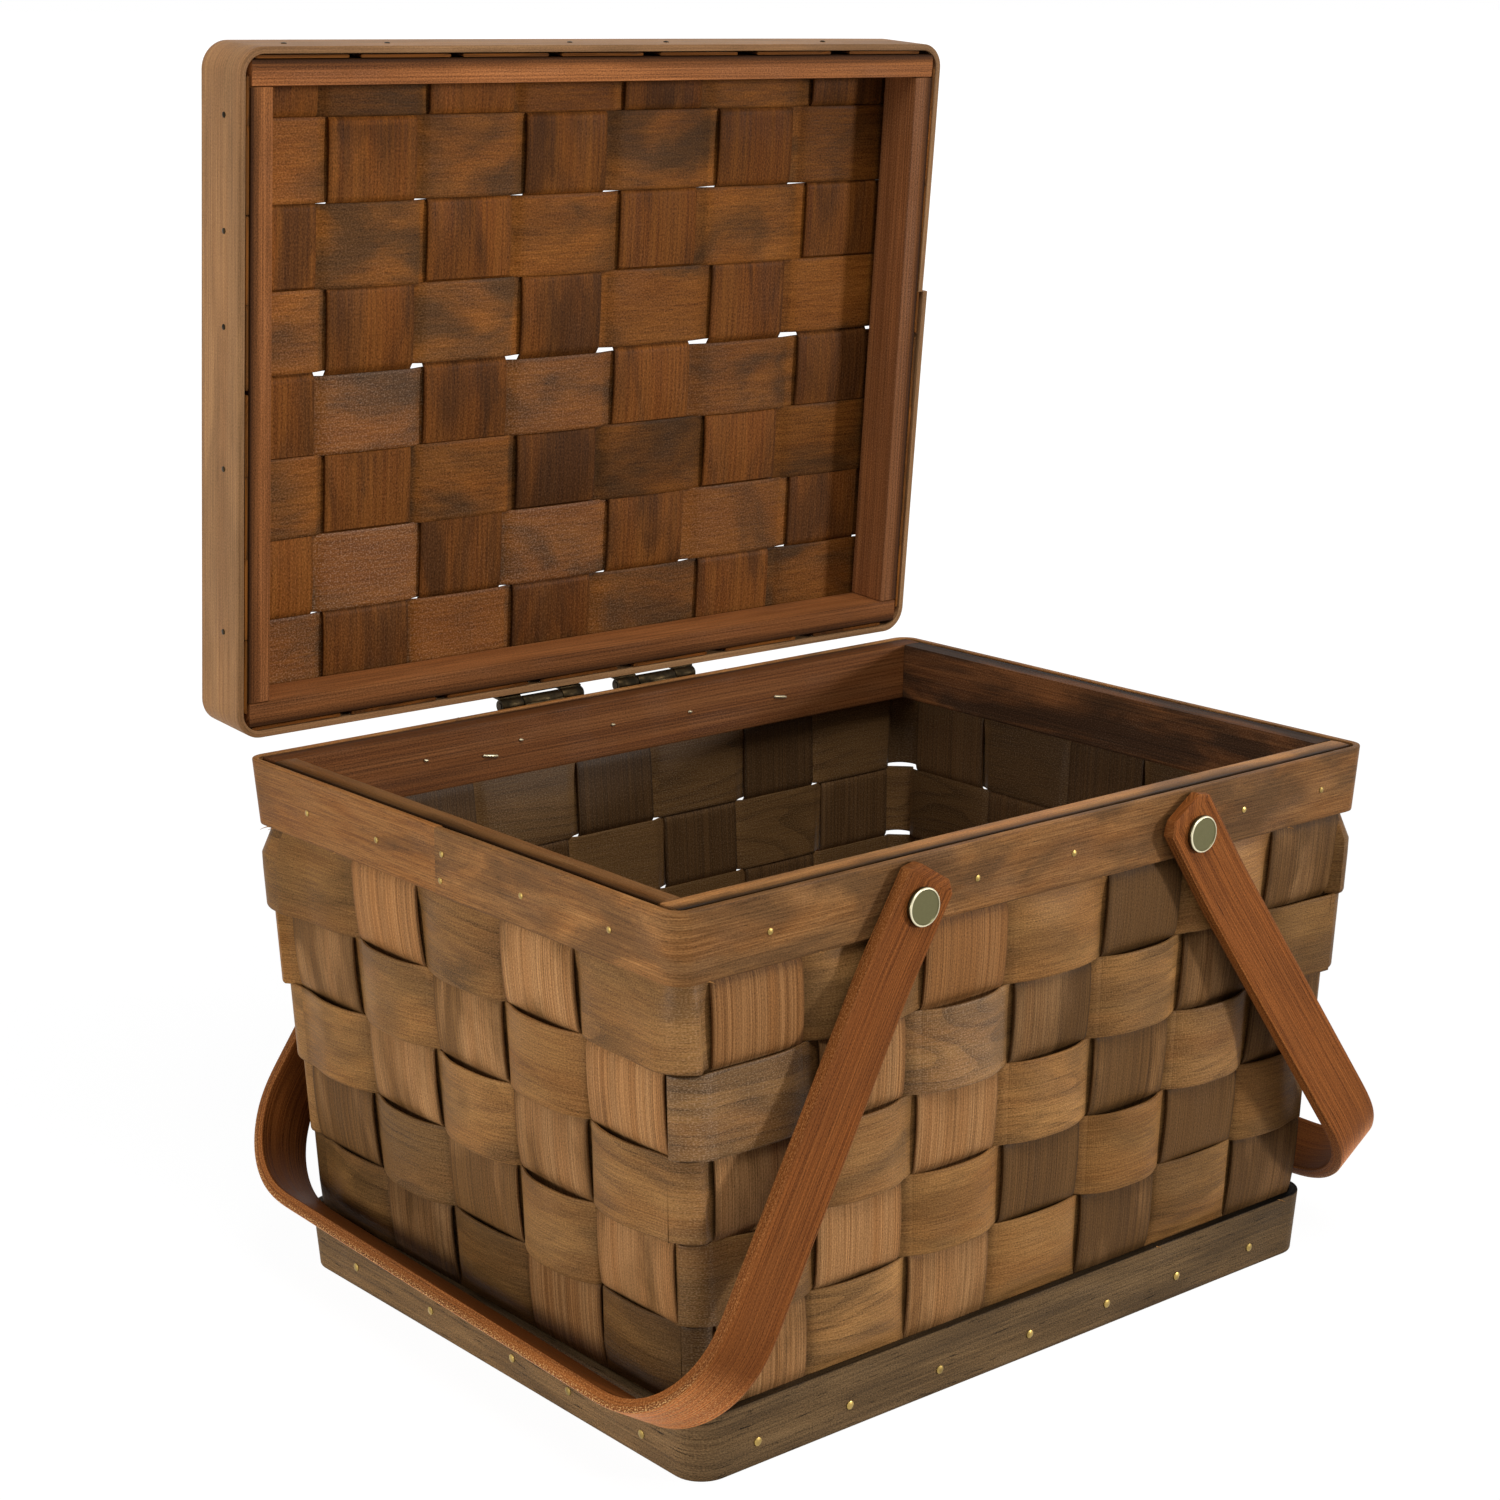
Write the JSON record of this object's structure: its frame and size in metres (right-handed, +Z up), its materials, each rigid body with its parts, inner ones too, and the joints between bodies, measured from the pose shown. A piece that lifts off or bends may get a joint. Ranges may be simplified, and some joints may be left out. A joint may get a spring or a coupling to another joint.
{
  "type": "picnic basket",
  "caption": "Lidded picnic basket plaited from wood splints, with a solid rim, a hinged lid standing open and bentwood swing handles for carrying food.",
  "frame": {"origin": "middle of the footprint of the whole object with its lid open, on the surface that it stands on", "axes": "+X to the right along the front, +Y to the hinged back, +Z up"},
  "size_m": [0.3214, 0.2694, 0.4131],
  "materials": {
    "stake_wood": "worn satin varnish over a light walnut stain, upright grain",
    "weaver_wood": "worn satin varnish over a dark walnut stain, grain along the strip",
    "rim_wood": "satin varnished veneer, walnut stain",
    "rail_wood": "satin stained solid wood, reddish brown",
    "base_wood": "worn, greyed walnut stain",
    "lid_wood": "glossy varnish over a reddish walnut stain",
    "handle_wood": "satin varnished bent wood, reddish brown",
    "aged_brass": "dull aged brass",
    "pale_brass": "bright, pale worn brass"
  },
  "bodies": {
    "basket": {"base_band": "base_wood", "cross_stake_1": "stake_wood", "cross_stake_2": "stake_wood", "cross_stake_3": "stake_wood", "cross_stake_4": "stake_wood", "cross_stake_5": "stake_wood", "cross_stake_6": "stake_wood", "cross_stake_7": "stake_wood", "hinge_leaf_left": "aged_brass", "hinge_leaf_right": "aged_brass", "hinge_pin_left": "aged_brass", "hinge_pin_right": "aged_brass", "long_stake_1": "stake_wood", "long_stake_2": "stake_wood", "long_stake_3": "stake_wood", "long_stake_4": "stake_wood", "long_stake_5": "stake_wood", "rim_band": "rim_wood", "rim_rail_back": "rail_wood", "rim_rail_front": "rail_wood", "rim_rail_left": "rail_wood", "rim_rail_right": "rail_wood", "rivet_back_left": "pale_brass", "rivet_back_right": "pale_brass", "rivet_front_left": "pale_brass", "rivet_front_right": "pale_brass", "weaver_row_1": "weaver_wood", "weaver_row_2": "weaver_wood", "weaver_row_3": "weaver_wood", "weaver_row_4": "weaver_wood", "weaver_row_5": "weaver_wood"},
    "lid": {"lid_band": "rim_wood", "lid_cross_strip_1": "lid_wood", "lid_cross_strip_2": "lid_wood", "lid_cross_strip_3": "lid_wood", "lid_cross_strip_4": "lid_wood", "lid_cross_strip_5": "lid_wood", "lid_cross_strip_6": "lid_wood", "lid_cross_strip_7": "lid_wood", "lid_hinge_leaf_left": "aged_brass", "lid_hinge_leaf_right": "aged_brass", "lid_long_strip_1": "lid_wood", "lid_long_strip_2": "lid_wood", "lid_long_strip_3": "lid_wood", "lid_long_strip_4": "lid_wood", "lid_long_strip_5": "lid_wood", "lid_long_strip_6": "lid_wood", "lid_long_strip_7": "lid_wood", "lid_long_strip_8": "lid_wood", "lid_rail_back": "rail_wood", "lid_rail_front": "rail_wood", "lid_rail_left": "rail_wood", "lid_rail_right": "rail_wood"},
    "left_handle": {"handle_left": "handle_wood"},
    "right_handle": {"handle_right": "handle_wood"}
  },
  "joints": [
    {"name": "lid_hinge", "type": "hinge", "parent": "basket", "child": "lid", "pos_m": [-0.00141, 0.11079, 0.1822], "axis": [1, 0, 0], "range_deg": [0, 85.7]},
    {"name": "left_handle_pivot", "type": "hinge", "parent": "basket", "child": "left_handle", "pos_m": [-0.06241, -0.00746, 0.168], "axis": [0, 1, 0], "range_deg": [0, 60]},
    {"name": "right_handle_pivot", "type": "hinge", "parent": "basket", "child": "right_handle", "pos_m": [0.05959, -0.00746, 0.168], "axis": [0, -1, 0], "range_deg": [0, 60]}
  ]
}
